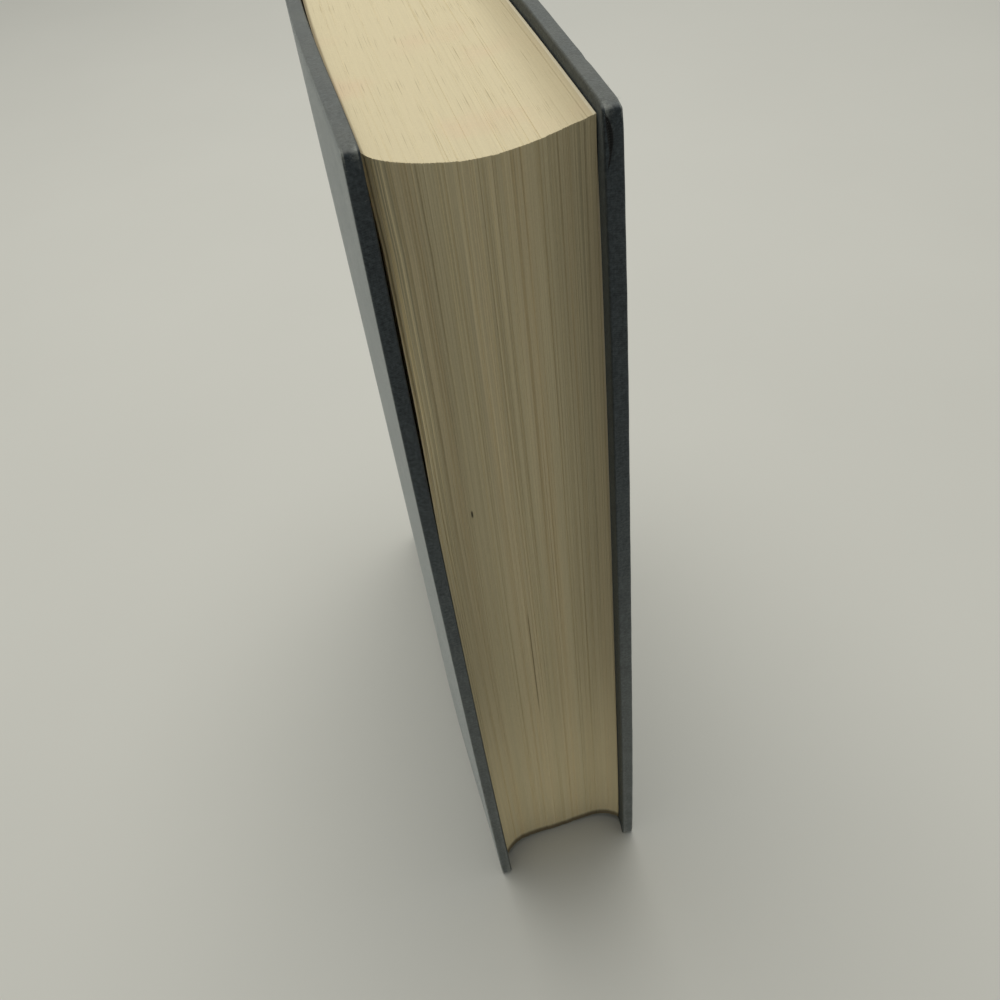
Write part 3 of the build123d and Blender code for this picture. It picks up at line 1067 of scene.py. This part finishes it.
leaf_edges = leaf_edge_finish()
case_cloth = case_cloth_finish(
    "slate_book_cloth", sheen=0.7, deep=linear(44, 53, 59), pale=linear(88, 97, 100)
)
# The turn-ins' cloth is darker: painted shade, where it lies beside the block
turn_in_painted_shade_cloth = case_cloth_finish(
    "turn_in_cloth_painted_shade", sheen=0.1, deep=linear(37, 44, 46), pale=linear(76, 84, 84)
)
frayed_fibre = fray_finish()
flyleaf = plain_paper_finish("flyleaf_paper", linear(221, 209, 180), linear(216, 202, 170))
endpaper = plain_paper_finish("endpaper", linear(216, 202, 170), linear(210, 193, 158))
pulp_board = pulp_board_finish()
kraft_lining = kraft_lining_finish()
band_thread = band_thread_finish()

leaves = make_leaves()
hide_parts("text_block")
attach(leaves, "book_block")

# Each cover with its cloth, board, pasted paper and loose fibres, and each half of the spine's cloth with
# its joint paper
for cover, side in (("front", -1), ("rear", 1)):
    cover_cloth = make_cover_cloth(f"{cover}_cover_cloth", side, torn=cover == "rear")
    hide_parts(f"{cover}_cloth")
    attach(cover_cloth, f"{cover}_cover")
    board = make_board(f"{cover}_cover_board", side)
    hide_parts(f"{cover}_board")
    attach(board, f"{cover}_cover")
    paste_paper = make_pastedown(f"{cover}_paste_paper", side)
    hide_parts(f"{cover}_pastedown")
    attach(paste_paper, f"{cover}_cover")
    fray = make_fray(f"{cover}_corner_fray", side)
    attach(fray, f"{cover}_cover")
    spine_half = make_spine_half(f"{cover}_spine_cloth", side)
    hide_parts("spine_cloth")
    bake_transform(spine_half)
    joint_paper = make_joint_paper(f"{cover}_joint_paper", side)
    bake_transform(joint_paper)

for band, node, level, outward in (
    ("head_band", "headband", block_head, 1),
    ("tail_band", "tailband", block_tail, -1),
):
    band_piece = make_band(band, level, outward)
    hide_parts(node)
    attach(band_piece, "book_block")

for node, finish in (("spine_card", pulp_board), ("spine_lining", kraft_lining)):
    for material_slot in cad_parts[node].material_slots:
        material_slot.material = finish


# Floor, light and camera
def floor_finish():
    """A pale painted table top with the faintest unevenness."""
    table = Finish("pale_table", Roughness=0.7, Specular_IOR_Level=0.2)
    cloud = table.noise(table.position(), 9.0, 4.0)
    return table.surface(table.mix(cloud, linear(211, 210, 200), linear(216, 215, 205)))


def make_floor(half):
    """A square table top round the origin."""
    corners = [(-half, -half, 0.0), (half, -half, 0.0), (half, half, 0.0), (-half, half, 0.0)]
    mesh = bpy.data.meshes.new("floor")
    mesh.from_pydata(corners, [], [(0, 1, 2, 3)])
    mesh.materials.append(floor_finish())
    floor = bpy.data.objects.new("floor", mesh)
    bpy.context.collection.objects.link(floor)


def make_lamp(name, place, target, size, power, color):
    """A round area lamp that looks at its target."""
    lamp = bpy.data.lights.new(name, "AREA")
    lamp.shape = "DISK"
    lamp.size = size
    lamp.energy = power
    lamp.color = color
    holder = bpy.data.objects.new(name, lamp)
    aim = (Vector(target) - Vector(place)).to_track_quat("-Z", "Y")
    holder.matrix_world = Matrix.Translation(place) @ aim.to_matrix().to_4x4()
    bpy.context.collection.objects.link(holder)


make_floor(half=2.5)
make_lamp(
    "overhead_softbox",
    place=(0.02, 0.34, 1.2),
    target=(0.0, 0.14, 0.0),
    size=1.1,
    power=10.8,
    color=(1.0, 0.985, 0.955),
)

scene = bpy.context.scene
world = bpy.data.worlds.new("room")
world.use_nodes = True
room = world.node_tree.nodes["Background"]
room.inputs["Color"].default_value = (0.86, 0.9, 0.93, 1.0)
room.inputs["Strength"].default_value = 0.262
scene.world = world
scene.view_settings.view_transform = "Standard"

camera_place = (-0.02456, -0.2081, 0.2842)
camera_data = bpy.data.cameras.new("camera")
camera_data.sensor_width = 36.0
camera_data.lens = 36.12
camera = bpy.data.objects.new("camera", camera_data)
heading = Matrix.Rotation(math.radians(-8.23), 4, "Z")
tilt = Matrix.Rotation(math.radians(45.21), 4, "X")
roll = Matrix.Rotation(math.radians(-8.18), 4, "Z")
camera.matrix_world = Matrix.Translation(camera_place) @ heading @ tilt @ roll
bpy.context.collection.objects.link(camera)
scene.camera = camera
